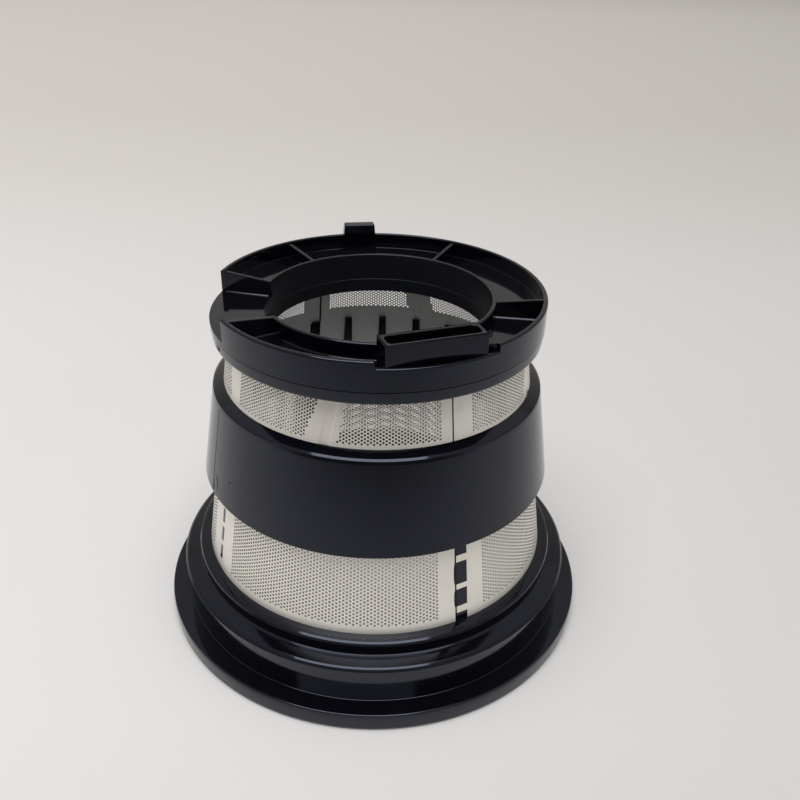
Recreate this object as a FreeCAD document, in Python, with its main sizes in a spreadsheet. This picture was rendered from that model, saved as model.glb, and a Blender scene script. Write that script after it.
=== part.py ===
import FreeCAD, Part
import os
import Sketcher

# Juicer mesh screen: a conical drum of two perforated steel half-sheets held by a moulded frame and a key ring
# Millimetres, +Z up, origin on the drum's axis in the plane the wide mouth stands on

DOC = FreeCAD.newDocument("juicer_mesh_screen")
SHEET = DOC.addObject("Spreadsheet::Sheet", "Sizes")


class Size:
    """A number together with the spreadsheet expression that gives it."""

    def __init__(self, value, text):
        self.value = float(value)
        self.text = text

    def combine(self, other, sign, result):
        return Size(result, "(%s %s %s)" % (self.text, sign, other.text))

    def __add__(self, other):
        other = as_size(other)
        return self.combine(other, "+", self.value + other.value)

    def __sub__(self, other):
        other = as_size(other)
        return self.combine(other, "-", self.value - other.value)

    def __mul__(self, other):
        other = as_size(other)
        return self.combine(other, "*", self.value * other.value)

    def __truediv__(self, other):
        other = as_size(other)
        return self.combine(other, "/", self.value / other.value)


def as_size(number):
    """Give a plain number the same form as a named size."""
    if isinstance(number, Size):
        return number
    return Size(number, "%.6g" % number if number >= 0 else "(%.6g)" % number)


class Sizes:
    """Named sizes, one spreadsheet row each."""

    def __init__(self, values):
        for row, (name, value) in enumerate(values.items(), start=1):
            SHEET.set("A%d" % row, name)
            SHEET.set("B%d" % row, "%.6g" % value)
            SHEET.setAlias("B%d" % row, name)
            setattr(self, name, Size(value, "Sizes.%s" % name))


SIZES = {
    # Steel half-sheets, rolled to a cone that leaves the mouth ring's lip at the foot
    "foot_h": 20.0,
    "foot_r": 44.53,
    "cone_slope": 0.1422,
    "steel": 0.4,
    "steel_embed": 3.4,
    "screen_h": 60.2,
    "seam_angle": 120.0,
    "seam_back_angle": 1.95,
    "seam_gap_angle": 0.5,
    # Mouth ring, the wide end the drum stands on
    "lip_wall": 2.77,
    "lip_drop": 0.8,
    "lip_h": 3.7,
    "lip_inner": 2.0,
    "lip_inner_drop": 1.2,
    "shelf_w": 4.9,
    "collar_round": 1.0,
    "flange_w": 3.8,
    "flange_h": 4.8,
    "flange_round": 0.7,
    "mouth_wall": 2.2,
    # Middle band
    "band_rise": 21.26,
    "band_h": 22.54,
    "band_low_t": 2.8,
    "band_top_t": 2.54,
    "band_crest_w": 1.5,
    "band_crest_h": 0.8,
    "band_groove_h": 0.45,
    "band_slope_h": 2.05,
    # Grip ribs that pass from the band through slots in the steel
    "rib_count": 24,
    "rib_low_gap": 1.34,
    "rib_top_gap": 0.5,
    "rib_low_w": 3.0,
    "rib_top_w": 1.9,
    "rib_proud": 0.9,
    "rib_root": 1.1,
    "slot_cover": 0.15,
    # Tie bars between the mouth ring and the band
    "tie_embed": 2.6,
    "tie_root": 2.14,
    "tie_w": 2.9,
    "tie_proud": 1.0,
    "tie_inset": 0.05,
    # Notches at the seam and the steel fingers between them, and the narrow windows at the middle tie bar
    "notch_side": 1.4,
    "notch_low_h": 1.4,
    "finger_low_h": 1.8,
    "notch_second_h": 4.7,
    "finger_second_h": 1.4,
    "notch_third_h": 5.9,
    "finger_third_h": 1.8,
    "notch_end": 1.1,
    "window_w": 1.2,
    "window_h": 3.2,
    "window_rise": 3.4,
    "window_pitch": 4.2,
    # Coarse openings that stand for the fine perforation
    "gap_h": 3.4,
    "gap_angle": 7.2,
    "gap_pitch": 5.7,
    "gap_step_angle": 12.6,
    "gap_side_angle": 13.5,
    "lower_rise": 4.0,
    "upper_rise": 2.1,
    "upper_pitch": 4.8,
    "upper_second_angle": 58.6,
    # Key ring, the narrow end, measured from the steel's top edge and its floor
    "bore_r": 27.2,
    "bore_ledge": 0.7,
    "ledge_reach": 0.8,
    "key_reach": 4.3,
    "hub_wall": 1.0,
    "hub_skirt": 0.4,
    "hub_h": 3.9,
    "floor_rise": 2.0,
    "floor_step": 1.6,
    "under_reach": 0.5,
    "socket_reach": 3.0,
    "socket_wall": 1.2,
    "socket_lip": 0.6,
    "key_side": 4.23,
    "key_foot_in": 0.9,
    "key_foot_reach": 2.1,
    "parting_rise": 0.5,
    "key_wall": 1.2,
    "key_wall_h": 5.6,
    "key_round": 0.3,
    "web": 1.1,
    "web_in_h": 3.8,
    "web_out_h": 5.2,
    "web_right_angle": 61.0,
    "web_left_angle": 130.0,
    "web_notch_angle": 0.93,
    # Key ring: notch, lowered front wall, raised rear floor, tab, chute and post
    "notch_angle": 167.0,
    "notch_span": 46.0,
    "low_wall_angle": 270.0,
    "low_wall_span": 41.0,
    "low_wall_h": 4.0,
    "rear_angle": -6.0,
    "tab_angle": 100.2,
    "tab_low_w": 9.8,
    "tab_top_w": 8.2,
    "tab_rise": 3.2,
    "tab_depth": 2.8,
    "tab_inset": 0.25,
    "tab_round": 0.4,
    "chute_angle": 290.5,
    "chute_w": 22.7,
    "chute_depth": 6.5,
    "chute_set_in": 2.2,
    "chute_rise": 3.2,
    "chute_wall": 1.1,
    "chute_floor_rise": 0.8,
    "post_angle": 313.5,
    "post_set_in": 2.2,
    "post_d": 3.4,
    "post_h": 5.3,
    # How far added features sink into what carries them, and how far cuts run past a face
    "merge": 0.2,
    "cut_past": 1.0,
}

S = Sizes(SIZES)
DOC.recompute()


def cone(height):
    """Outer radius of the steel at a height."""
    return S.foot_r - S.cone_slope * (height - S.foot_h)


# Levels and radii that several pieces share
ZERO = as_size(0)
HALF_TURN = as_size(180)
STEEL_LOW = S.foot_h - S.steel_embed
STEEL_TOP = S.foot_h + S.screen_h
BAND_LOW = S.foot_h + S.band_rise
BAND_TOP = BAND_LOW + S.band_h
RIB_LOW = BAND_LOW + S.rib_low_gap
RIB_TOP = BAND_TOP - S.rib_top_gap
KEY_R = cone(STEEL_TOP) + S.key_side
FLOOR = STEEL_TOP + S.floor_rise
WALL_TOP = FLOOR + S.key_wall_h


def new_body(name):
    body = DOC.addObject("PartDesign::Body", name)
    body.Label = name
    return body


def datum(body, role):
    """The body's own origin plane or axis of a given role."""
    for feature in body.Origin.OriginFeatures:
        if feature.Role == role:
            return feature
    raise ValueError(role)


def attach(sketch, body, plane, turn=None, lift=None):
    """Attach a sketch to an origin plane, turned about the drum's axis and lifted along its own normal."""
    sketch.AttachmentSupport = [(datum(body, plane), "")]
    sketch.MapMode = "FlatFace"
    flat = plane == "XY_Plane"
    turn = ZERO if turn is None else turn
    lift = ZERO if lift is None else lift
    axis = FreeCAD.Vector(0, 0, 1) if flat else FreeCAD.Vector(0, 1, 0)
    spin = FreeCAD.Rotation(axis, turn.value)
    base = spin.multVec(FreeCAD.Vector(0, 0, lift.value))
    sketch.AttachmentOffset = FreeCAD.Placement(base, spin)
    if turn.value:
        sketch.setExpression("AttachmentOffset.Rotation.Angle", "%s * 1 deg" % turn.text)
    if lift.value and flat:
        sketch.setExpression("AttachmentOffset.Base.z", "%s * 1 mm" % lift.text)
    if lift.value and not flat:
        share = (lift.text, turn.text)
        sketch.setExpression("AttachmentOffset.Base.x", "%s * 1 mm * sin(%s * 1 deg)" % share)
        sketch.setExpression("AttachmentOffset.Base.z", "%s * 1 mm * cos(%s * 1 deg)" % share)


def add_outline(sketch, points):
    """Add one closed outline whose corners are each held by two sizes."""
    first = sketch.GeometryCount
    count = len(points)
    spots = [FreeCAD.Vector(x.value, y.value, 0) for x, y in points]
    for i in range(count):
        sketch.addGeometry(Part.LineSegment(spots[i], spots[(i + 1) % count]), False)
    for i in range(count):
        following = first + (i + 1) % count
        sketch.addConstraint(Sketcher.Constraint("Coincident", first + i, 2, following, 1))
    for i, (x, y) in enumerate(points):
        for kind, size in (("DistanceX", x), ("DistanceY", y)):
            held = sketch.addConstraint(Sketcher.Constraint(kind, -1, 1, first + i, 1, size.value))
            sketch.setExpression("Constraints[%d]" % held, size.text)


def outline(body, name, plane, outlines, turn=None, lift=None):
    """Draw a sketch of one or more closed outlines."""
    sketch = body.newObject("Sketcher::SketchObject", name)
    attach(sketch, body, plane, turn, lift)
    for points in outlines:
        add_outline(sketch, [(as_size(x), as_size(y)) for x, y in points])
    DOC.recompute()
    return sketch


def rectangle(x0, x1, y0, y1):
    return [(x0, y0), (x1, y0), (x1, y1), (x0, y1)]


def circle(body, name, at, diameter, turn, lift):
    """Draw a circle on a level, its centre a distance from the drum's axis."""
    sketch = body.newObject("Sketcher::SketchObject", name)
    attach(sketch, body, "XY_Plane", turn, lift)
    spot = FreeCAD.Vector(at.value, 0, 0)
    sketch.addGeometry(Part.Circle(spot, FreeCAD.Vector(0, 0, 1), diameter.value / 2), False)
    sketch.addConstraint(Sketcher.Constraint("PointOnObject", 0, 3, -1))
    held = sketch.addConstraint(Sketcher.Constraint("DistanceX", -1, 1, 0, 3, at.value))
    sketch.setExpression("Constraints[%d]" % held, at.text)
    held = sketch.addConstraint(Sketcher.Constraint("Diameter", 0, diameter.value))
    sketch.setExpression("Constraints[%d]" % held, diameter.text)
    DOC.recompute()
    return sketch


def turned(body, name, sketch, angle=None, back=None, cut=False):
    """Revolve a sketch about the drum's axis, all the way or through an angle."""
    kind = "PartDesign::Groove" if cut else "PartDesign::Revolution"
    feature = body.newObject(kind, name)
    feature.Profile = sketch
    feature.ReferenceAxis = (datum(body, "Z_Axis"), [""])
    feature.Angle = 360.0
    if back is not None:
        feature.Type = "TwoAngles"
        feature.setExpression("Angle2", "%s * 1 deg" % back.text)
    if angle is not None:
        feature.setExpression("Angle", "%s * 1 deg" % angle.text)
    sketch.Visibility = False
    feature.Refine = False
    body.Tip = feature
    DOC.recompute()
    return feature


def padded(body, name, sketch, length, both=False, back=False):
    feature = body.newObject("PartDesign::Pad", name)
    feature.Profile = sketch
    feature.setExpression("Length", "%s * 1 mm" % as_size(length).text)
    feature.Midplane = both
    feature.Reversed = back
    sketch.Visibility = False
    feature.Refine = False
    body.Tip = feature
    DOC.recompute()
    return feature


def pocketed(body, name, sketch, length, back=True):
    """Cut a sketch into the body; refuses a cut that removes nothing."""
    before = body.Shape.Volume
    feature = body.newObject("PartDesign::Pocket", name)
    feature.Profile = sketch
    feature.setExpression("Length", "%s * 1 mm" % as_size(length).text)
    feature.Reversed = back
    sketch.Visibility = False
    feature.Refine = False
    body.Tip = feature
    DOC.recompute()
    if body.Shape.Volume > before - 0.01:
        raise ValueError("%s removes nothing" % name)
    return feature


def lofted(body, name, low, high, cut=False):
    kind = "PartDesign::SubtractiveLoft" if cut else "PartDesign::AdditiveLoft"
    feature = body.newObject(kind, name)
    feature.Profile = low
    feature.Sections = [high]
    feature.Ruled = True
    low.Visibility = False
    high.Visibility = False
    feature.Refine = False
    body.Tip = feature
    DOC.recompute()
    return feature


def around(body, name, original, count, angle):
    """Repeat a feature about the drum's axis."""
    feature = body.newObject("PartDesign::PolarPattern", name)
    feature.Originals = [original]
    feature.Axis = (datum(body, "Z_Axis"), [""])
    feature.Refine = False
    body.Tip = feature
    feature.setExpression("Angle", "%s * 1 deg" % as_size(angle).text)
    feature.setExpression("Occurrences", as_size(count).text)
    DOC.recompute()
    return feature


def wedge(body, name, low, high, inner, outer, low_w, high_w, cut=False):
    """A bar that leans with the cone: two rectangles, low and high, joined."""
    ends = []
    for end, level, width in (("low", low, low_w), ("high", high, high_w)):
        half = width / 2
        shape = rectangle(inner(level), outer(level), half * -1, half)
        ends.append(outline(body, "%s_%s" % (name, end), "XY_Plane", [shape], lift=level))
    return lofted(body, name, ends[0], ends[1], cut)


def opening(name, angle, height):
    """A coarse opening: a slice of a disc, from the drum's axis out through the steel."""
    slice_ = DOC.addObject("Part::Cylinder", name)
    start = angle - S.gap_angle / 2
    spin = FreeCAD.Rotation(FreeCAD.Vector(0, 0, 1), start.value % 360)
    slice_.Placement = FreeCAD.Placement(FreeCAD.Vector(), spin)
    slice_.setExpression("Placement.Rotation.Angle", "mod(%s + 720; 360) * 1 deg" % start.text)
    slice_.setExpression("Placement.Base.z", "%s * 1 mm" % height.text)
    slice_.setExpression("Radius", "%s * 1 mm" % (cone(height) + S.cut_past).text)
    slice_.setExpression("Height", "%s * 1 mm" % S.gap_h.text)
    slice_.setExpression("Angle", "%s * 1 deg" % S.gap_angle.text)
    return slice_


def coarse_field(name, angle):
    """Openings of one half-sheet: a staggered field below the band, two fields a quarter above it."""
    slices = []
    step = S.gap_step_angle
    low = S.foot_h + S.lower_rise
    high = BAND_TOP + S.band_slope_h + S.upper_rise
    for quarter in range(2):
        start = angle + S.gap_side_angle + 90 * quarter
        rows = []
        for level in range(3):
            shift = step * 0.5 * (level % 2)
            rows.append(("lower", start + shift, 6 - level % 2, low + S.gap_pitch * level))
        for level in range(2):
            height = high + S.upper_pitch * level
            rows.append(("left", start, 2, height))
            rows.append(("right", angle + S.upper_second_angle + 90 * quarter, 2, height))
        for field, first, count, height in rows:
            for column in range(count):
                label = "%s_%s_%d" % (name, field, len(slices))
                slices.append(opening(label, first + step * column, height))
    field = DOC.addObject("Part::Compound", name + "_openings")
    field.Links = slices
    return field


def half_sheet(name, angle):
    """One perforated half-sheet, its first tie bar at the given angle and its seam just behind it."""
    body = new_body(name + "_rolled")
    profile = [
        (cone(STEEL_LOW), STEEL_LOW),
        (cone(STEEL_TOP), STEEL_TOP),
        (cone(STEEL_TOP) - S.steel, STEEL_TOP),
        (cone(STEEL_LOW) - S.steel, STEEL_LOW),
    ]
    span = HALF_TURN - S.seam_back_angle - S.seam_gap_angle
    sketch = outline(body, name + "_section", "XZ_Plane", [profile], turn=angle)
    turned(body, name + "_roll", sketch, span, S.seam_back_angle)

    # Slots for the grip ribs, all but the one at the seam
    pitch = HALF_TURN * 2 / S.rib_count
    low = RIB_LOW + S.slot_cover * 2
    high = RIB_TOP - S.slot_cover * 2
    ends = []
    for end, level, width in (("low", low, S.rib_low_w), ("high", high, S.rib_top_w)):
        half = width / 2 - S.slot_cover
        inside = cone(level) - S.steel - S.cut_past
        shape = rectangle(inside, cone(level) + S.cut_past, half * -1, half)
        label = "%s_slot_%s" % (name, end)
        ends.append(outline(body, label, "XY_Plane", [shape], turn=angle + pitch, lift=level))
    slot = lofted(body, name + "_slot", ends[0], ends[1], cut=True)
    around(body, name + "_slots", slot, S.rib_count / 2 - 1, HALF_TURN - pitch * 2)

    # Notches open to the seam, so that fingers of steel are left between them
    finger_1 = S.foot_h + S.notch_low_h
    notch_2 = finger_1 + S.finger_low_h
    finger_2 = notch_2 + S.notch_second_h
    notch_3 = finger_2 + S.finger_second_h
    finger_3 = notch_3 + S.notch_third_h
    notch_4 = finger_3 + S.finger_third_h
    levels = (
        (STEEL_LOW - S.cut_past, finger_1),
        (notch_2, finger_2),
        (notch_3, finger_3),
        (notch_4, BAND_TOP - S.notch_end),
    )
    notches = [rectangle(S.notch_side * -2, S.notch_side, bottom, top) for bottom, top in levels]
    sketch = outline(body, name + "_seam_windows", "YZ_Plane", notches, turn=angle)
    pocketed(body, name + "_seam_notches", sketch, S.foot_r * 2)

    # Narrow windows at the middle tie bar
    slits = []
    for i in range(4):
        bottom = S.foot_h + S.window_rise + S.window_pitch * i
        half = S.window_w / 2
        slits.append(rectangle(half * -1, half, bottom, bottom + S.window_h))
    sketch = outline(body, name + "_mid_windows", "YZ_Plane", slits, turn=angle + 90)
    pocketed(body, name + "_mid_slits", sketch, S.foot_r * 2)
    return trimmed(name, body, coarse_field(name, angle))


def trimmed(name, blank, tool):
    """A blank with the room of something else taken out of it."""
    part = DOC.addObject("Part::Cut", name)
    part.Base = blank
    part.Tool = tool
    part.Label = name
    DOC.recompute()
    return part


def frame_blank():
    """Mouth ring, tie bars, grip ribs and middle band in one moulding; local X is on a tie bar."""
    body = new_body("frame_blank")
    lip_r = S.foot_r + S.lip_wall
    lip_top = S.foot_h - S.lip_drop
    shelf = lip_top - S.lip_h
    collar_r = lip_r + S.shelf_w
    flange_r = collar_r + S.flange_w
    socket_r = collar_r - S.mouth_wall
    inner_r = S.foot_r - S.lip_inner
    mouth = [
        (socket_r, ZERO),
        (flange_r, ZERO),
        (flange_r, S.flange_h - S.flange_round),
        (flange_r - S.flange_round, S.flange_h),
        (collar_r + S.collar_round, S.flange_h),
        (collar_r, S.flange_h + S.collar_round),
        (collar_r, shelf - S.collar_round),
        (collar_r - S.collar_round, shelf),
        (lip_r, shelf),
        (lip_r, lip_top),
        (cone(S.foot_h) - S.steel / 2, S.foot_h),
        (inner_r, S.foot_h - S.lip_inner_drop),
        (inner_r, shelf - S.mouth_wall),
        (socket_r, shelf - S.mouth_wall),
    ]
    turned(body, "mouth_ring", outline(body, "mouth_section", "XZ_Plane", [mouth]))

    bar = wedge(
        body, "tie_bar", S.foot_h - S.tie_embed, BAND_LOW + S.tie_root,
        lambda level: cone(level) - S.steel - S.tie_proud,
        lambda level: cone(level) - S.tie_inset,
        S.tie_w, S.tie_w,
    )
    around(body, "tie_bars", bar, 4, HALF_TURN * 2)

    rib = wedge(
        body, "grip_rib", RIB_LOW, RIB_TOP,
        lambda level: cone(level) - S.steel - S.rib_proud,
        lambda level: cone(level) + S.rib_root,
        S.rib_low_w, S.rib_top_w,
    )

    # The band's top is a rounded crest, a groove behind it and a slope up to the steel
    low_r = cone(BAND_LOW) + S.band_low_t
    top_r = cone(BAND_TOP) + S.band_top_t
    foot = BAND_TOP + S.band_slope_h
    band = [
        (cone(BAND_LOW) - S.steel / 2, BAND_LOW),
        (low_r, BAND_LOW),
        (top_r, BAND_TOP),
        (top_r - S.band_crest_w / 2, BAND_TOP + S.band_crest_h),
        (top_r - S.band_crest_w, BAND_TOP + S.band_groove_h),
        (cone(foot) - S.steel / 2, foot),
    ]
    turned(body, "middle_band", outline(body, "band_section", "XZ_Plane", [band]))
    around(body, "grip_ribs", rib, S.rib_count, HALF_TURN * 2)
    spin = FreeCAD.Rotation(FreeCAD.Vector(0, 0, 1), S.seam_angle.value)
    body.Placement = FreeCAD.Placement(FreeCAD.Vector(), spin)
    body.setExpression("Placement.Rotation.Angle", "%s * 1 deg" % S.seam_angle.text)
    DOC.recompute()
    return body


def key_blank():
    """Key ring: floor with hub and outer wall, radial webs, notch, tab, chute and post."""
    body = new_body("key_blank")
    edge = S.key_round
    past = S.cut_past
    root = FLOOR - S.merge
    rear = FLOOR + S.floor_step
    hub_r = S.bore_r + S.hub_wall
    hub_top = FLOOR + S.hub_h
    wall_r = KEY_R - S.key_wall
    ledge_r = S.bore_r - S.bore_ledge
    socket_r = cone(STEEL_TOP) - S.socket_wall
    low = STEEL_TOP - S.key_reach
    under = STEEL_TOP - S.under_reach
    socket_low = STEEL_TOP - S.socket_reach
    ring = [
        (ledge_r, low),
        (hub_r + S.hub_skirt, low),
        (hub_r + S.hub_skirt, under),
        (socket_r, under),
        (socket_r, socket_low),
        (cone(socket_low) + S.socket_lip, socket_low),
        (KEY_R - S.key_foot_in, STEEL_TOP - S.key_foot_reach),
        (KEY_R, STEEL_TOP + S.parting_rise),
        (KEY_R, WALL_TOP - edge),
        (KEY_R - edge, WALL_TOP),
        (wall_r, WALL_TOP),
        (wall_r, FLOOR),
        (hub_r, FLOOR),
        (hub_r, hub_top),
        (S.bore_r, hub_top),
        (S.bore_r, STEEL_TOP - S.ledge_reach),
        (ledge_r, STEEL_TOP - S.ledge_reach),
    ]
    turned(body, "key_body", outline(body, "key_section", "XZ_Plane", [ring]))

    notch = rectangle(ledge_r - past, KEY_R + past, FLOOR, WALL_TOP + past)
    sketch = outline(body, "notch_section", "XZ_Plane", [notch], turn=S.notch_angle)
    turned(body, "notch", sketch, S.notch_span, cut=True)

    lowered = rectangle(wall_r - past, KEY_R + past, FLOOR + S.low_wall_h, WALL_TOP + past)
    sketch = outline(body, "lowered_section", "XZ_Plane", [lowered], turn=S.low_wall_angle)
    turned(body, "lowered_wall", sketch, S.low_wall_span, cut=True)

    raised = rectangle(hub_r - S.merge, wall_r + S.merge, root, rear)
    sketch = outline(body, "raised_section", "XZ_Plane", [raised], turn=S.rear_angle)
    turned(body, "raised_floor", sketch, S.notch_angle - S.rear_angle)

    # Radial webs: three inside the rear half, one at each end of the notch
    webs = (
        ("web_right", S.rear_angle),
        ("web_rear_right", S.web_right_angle),
        ("web_rear_left", S.web_left_angle),
        ("notch_rear", S.notch_angle - S.web_notch_angle),
        ("notch_front", S.notch_angle + S.notch_span + S.web_notch_angle),
    )
    side = [
        (S.bore_r + S.merge, root),
        (wall_r + S.merge * 2, root),
        (wall_r + S.merge * 2, FLOOR + S.web_out_h),
        (S.bore_r + S.merge, FLOOR + S.web_in_h),
    ]
    for label, angle in webs:
        sketch = outline(body, label + "_side", "XZ_Plane", [side], turn=angle)
        padded(body, label, sketch, S.web, both=True)

    foot = S.tab_low_w / 2
    head = S.tab_top_w / 2
    soft = S.tab_round
    tab_top = WALL_TOP + S.tab_rise
    tab = [
        (foot * -1, FLOOR),
        (foot, FLOOR),
        (foot, WALL_TOP),
        (head + soft, WALL_TOP + soft),
        (head, tab_top - soft),
        (head - soft, tab_top),
        (soft - head, tab_top),
        (head * -1, tab_top - soft),
        ((head + soft) * -1, WALL_TOP + soft),
        (foot * -1, WALL_TOP),
    ]
    tab_inner = KEY_R - S.tab_inset - S.tab_depth
    sketch = outline(body, "tab_front", "YZ_Plane", [tab], turn=S.tab_angle, lift=tab_inner)
    padded(body, "tab", sketch, S.tab_depth)

    # Open-topped chute beside the hub, its front face in the gap of the lowered wall
    half = S.chute_w / 2
    chute_front = KEY_R - S.chute_set_in
    chute_back = chute_front - S.chute_depth
    chute_top = WALL_TOP + S.chute_rise
    chute_floor = FLOOR + S.chute_floor_rise
    wall = S.chute_wall
    shape = rectangle(chute_back, chute_front, half * -1, half)
    sketch = outline(body, "chute_outside", "XY_Plane", [shape], turn=S.chute_angle, lift=root)
    padded(body, "chute", sketch, chute_top - root)
    shape = rectangle(chute_back + wall, chute_front - wall, wall - half, half - wall)
    sketch = outline(body, "chute_inside", "XY_Plane", [shape], turn=S.chute_angle, lift=chute_floor)
    pocketed(body, "chute_well", sketch, chute_top - chute_floor + past)

    # Round post at the right end of the lowered wall
    sketch = circle(body, "post_foot", KEY_R - S.post_set_in, S.post_d, S.post_angle, root)
    padded(body, "post", sketch, S.post_h + S.merge)
    return body


def checked(part):
    """Refuse a sub-part that is broken or in more than one piece."""
    shape = part.Shape
    if shape.isNull() or not shape.isValid() or len(shape.Solids) != 1:
        raise ValueError("%s: %d solids" % (part.Label, len(shape.Solids)))
    return part


front = half_sheet("screen_half_front", S.seam_angle)
rear = half_sheet("screen_half_rear", S.seam_angle - HALF_TURN)
steel = DOC.addObject("Part::Compound", "steel_sheets")
steel.Links = [front.Base, rear.Base]
DOC.recompute()
frame = trimmed("drum_frame", frame_blank(), steel)
key = trimmed("key_ring", key_blank(), steel)

for thing in DOC.Objects:
    if "Invalid" in thing.State or "Error" in thing.State:
        raise ValueError("%s is %s" % (thing.Name, thing.State))

os.makedirs("parts", exist_ok=True)
for node in (key, frame, front, rear):
    checked(node)
    node.Shape.exportStep("parts/%s.step" % node.Label)
    print(node.Label, round(node.Shape.Volume), node.Shape.BoundBox)
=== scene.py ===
"""Juicer mesh screen: finished mouldings, perforated steel half-sheets and the studio they stand in."""

import logging
import math
from dataclasses import dataclass
from enum import Enum
from functools import partial
from typing import Callable, Iterable, Sequence

import bmesh
import bpy
from mathutils import Matrix, Vector
from mathutils.geometry import delaunay_2d_cdt

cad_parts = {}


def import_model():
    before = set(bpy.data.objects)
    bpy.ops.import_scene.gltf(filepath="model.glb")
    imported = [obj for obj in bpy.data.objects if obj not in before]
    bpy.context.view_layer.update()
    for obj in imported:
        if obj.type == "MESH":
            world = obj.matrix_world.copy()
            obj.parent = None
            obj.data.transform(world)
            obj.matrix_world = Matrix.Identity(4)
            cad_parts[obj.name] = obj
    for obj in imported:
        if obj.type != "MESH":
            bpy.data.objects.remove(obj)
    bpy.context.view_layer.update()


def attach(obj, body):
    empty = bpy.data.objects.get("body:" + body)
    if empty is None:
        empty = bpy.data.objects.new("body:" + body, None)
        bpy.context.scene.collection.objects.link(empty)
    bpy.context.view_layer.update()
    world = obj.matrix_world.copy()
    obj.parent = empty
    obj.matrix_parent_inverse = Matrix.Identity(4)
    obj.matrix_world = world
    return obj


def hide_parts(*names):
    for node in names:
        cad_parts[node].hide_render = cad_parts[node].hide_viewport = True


MM = 0.001
BODY = "root"
# Millimetres that a part of a moulding sinks into the next one, so that the two join.
SUNK = 0.3
# Millimetres that a cutting solid reaches past what it cuts.
PAST = 1.0

Point = tuple[float, float]
Spot = tuple[float, float, float]
Solid = bpy.types.Object
Finish = bpy.types.Material
LOG = logging.getLogger("juicer_mesh_screen")


class Node(Enum):
    """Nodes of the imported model."""

    KEY_RING = "key_ring"
    DRUM_FRAME = "drum_frame"
    HALF_FRONT = "screen_half_front"
    HALF_REAR = "screen_half_rear"


class Slot(Enum):
    """Material slots of the record."""

    PLASTIC = "black_plastic"
    STEEL = "perforated_steel"


class Join(Enum):
    """Ways to combine one solid with another."""

    UNION = "UNION"
    DIFFERENCE = "DIFFERENCE"


def linear(code: str) -> tuple[float, float, float, float]:
    """Turn an sRGB hex colour to linear.

    Args:
        code: Six hex digits.

    Returns:
        Linear red, green and blue, with full alpha.
    """
    parts = [int(code[i:i + 2], 16) / 255 for i in (0, 2, 4)]
    flat = [c / 12.92 if c <= 0.04045 else ((c + 0.055) / 1.055) ** 2.4 for c in parts]
    return flat[0], flat[1], flat[2], 1.0


def add_node(
    tree: bpy.types.NodeTree, kind: str, inputs: dict | None = None, **settings: str,
) -> bpy.types.Node:
    """Add a shader node with its settings, input values and links.

    Args:
        tree: Node tree that gets the node.
        kind: Node type, without the words that all shader nodes start with.
        inputs: Values, sockets or nodes by input name or number; a node gives its first open output.
        **settings: Properties of the node itself.

    Returns:
        The new node.
    """
    node = tree.nodes.new("ShaderNode" + kind)
    for key, value in settings.items():
        setattr(node, key, value)
    for key, value in (inputs or {}).items():
        if isinstance(value, bpy.types.Node):
            value = next(socket for socket in value.outputs if socket.enabled)
        if isinstance(value, bpy.types.NodeSocket):
            tree.links.new(value, node.inputs[key])
        else:
            node.inputs[key].default_value = value
    return node


def new_material(name: str) -> tuple[Finish, Callable[..., bpy.types.Node]]:
    """Make an empty node material.

    Args:
        name: Name of the material and how its surface was made.

    Returns:
        The material, and the function that adds a node to it.
    """
    material = bpy.data.materials.new(name)
    material.use_nodes = True
    material.node_tree.nodes.clear()
    return material, partial(add_node, material.node_tree)


@dataclass(frozen=True)
class MouldedPlastic:
    """Black ABS from a polished mould, with faint ripples, a little dust and a satin bore."""

    colour: str = "07070c"
    dust: str = "131318"
    sheen: str = "dfe6ff"
    ior: float = 1.5
    roughness: float = 0.085
    ripple_mm: float = 14.0
    ripple_depth_mm: float = 0.02
    dust_mm: float = 0.35
    dust_from: Point = (0.66, 0.78)
    satin: float = 0.38
    satin_within_mm: float = 27.45
    satin_fade_mm: float = 0.1

    def material(self) -> Finish:
        """Build the finish.

        Returns:
            The material.
        """
        # Polished black plastic gives the eye dark mirror images and thin, cool lines of light.
        material, add = new_material("abs_black_polished_mould")
        place = add("TexCoord").outputs["Object"]
        ripple = add("TexNoise", {"Vector": place, "Scale": 1 / (self.ripple_mm * MM), "Detail": 2.0})
        grain = add("TexNoise", {"Vector": place, "Scale": 1 / (self.dust_mm * MM), "Detail": 3.0})
        specks = add("ValToRGB", {"Fac": grain})
        for stop, share in zip(specks.color_ramp.elements, self.dust_from):
            stop.position = share
        tint = add("Mix", {
            "Factor": specks, "A": linear(self.colour), "B": linear(self.dust),
        }, data_type="RGBA")
        gloss = add("MapRange", {
            "Value": ripple, "From Min": 0.3, "From Max": 0.7,
            "To Min": self.roughness * 0.8, "To Max": self.roughness * 1.3,
        })
        level = add("VectorMath", {0: place, 1: (1, 1, 0)}, operation="MULTIPLY")
        radius = add("VectorMath", {0: level}, operation="LENGTH")
        bore = add("MapRange", {
            "Value": radius, "From Min": (self.satin_within_mm - self.satin_fade_mm) * MM,
            "From Max": self.satin_within_mm * MM, "To Min": self.satin, "To Max": 0.0,
        })
        rough = add("Math", {0: gloss, 1: bore}, operation="MAXIMUM")
        relief = add("Bump", {"Height": ripple, "Strength": 0.25, "Distance": self.ripple_depth_mm * MM})
        shader = add("BsdfPrincipled", {
            "Base Color": tint, "Roughness": rough, "Normal": relief,
            "IOR": self.ior, "Specular Tint": linear(self.sheen),
        })
        add("OutputMaterial", {"Surface": shader})
        return material


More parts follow.
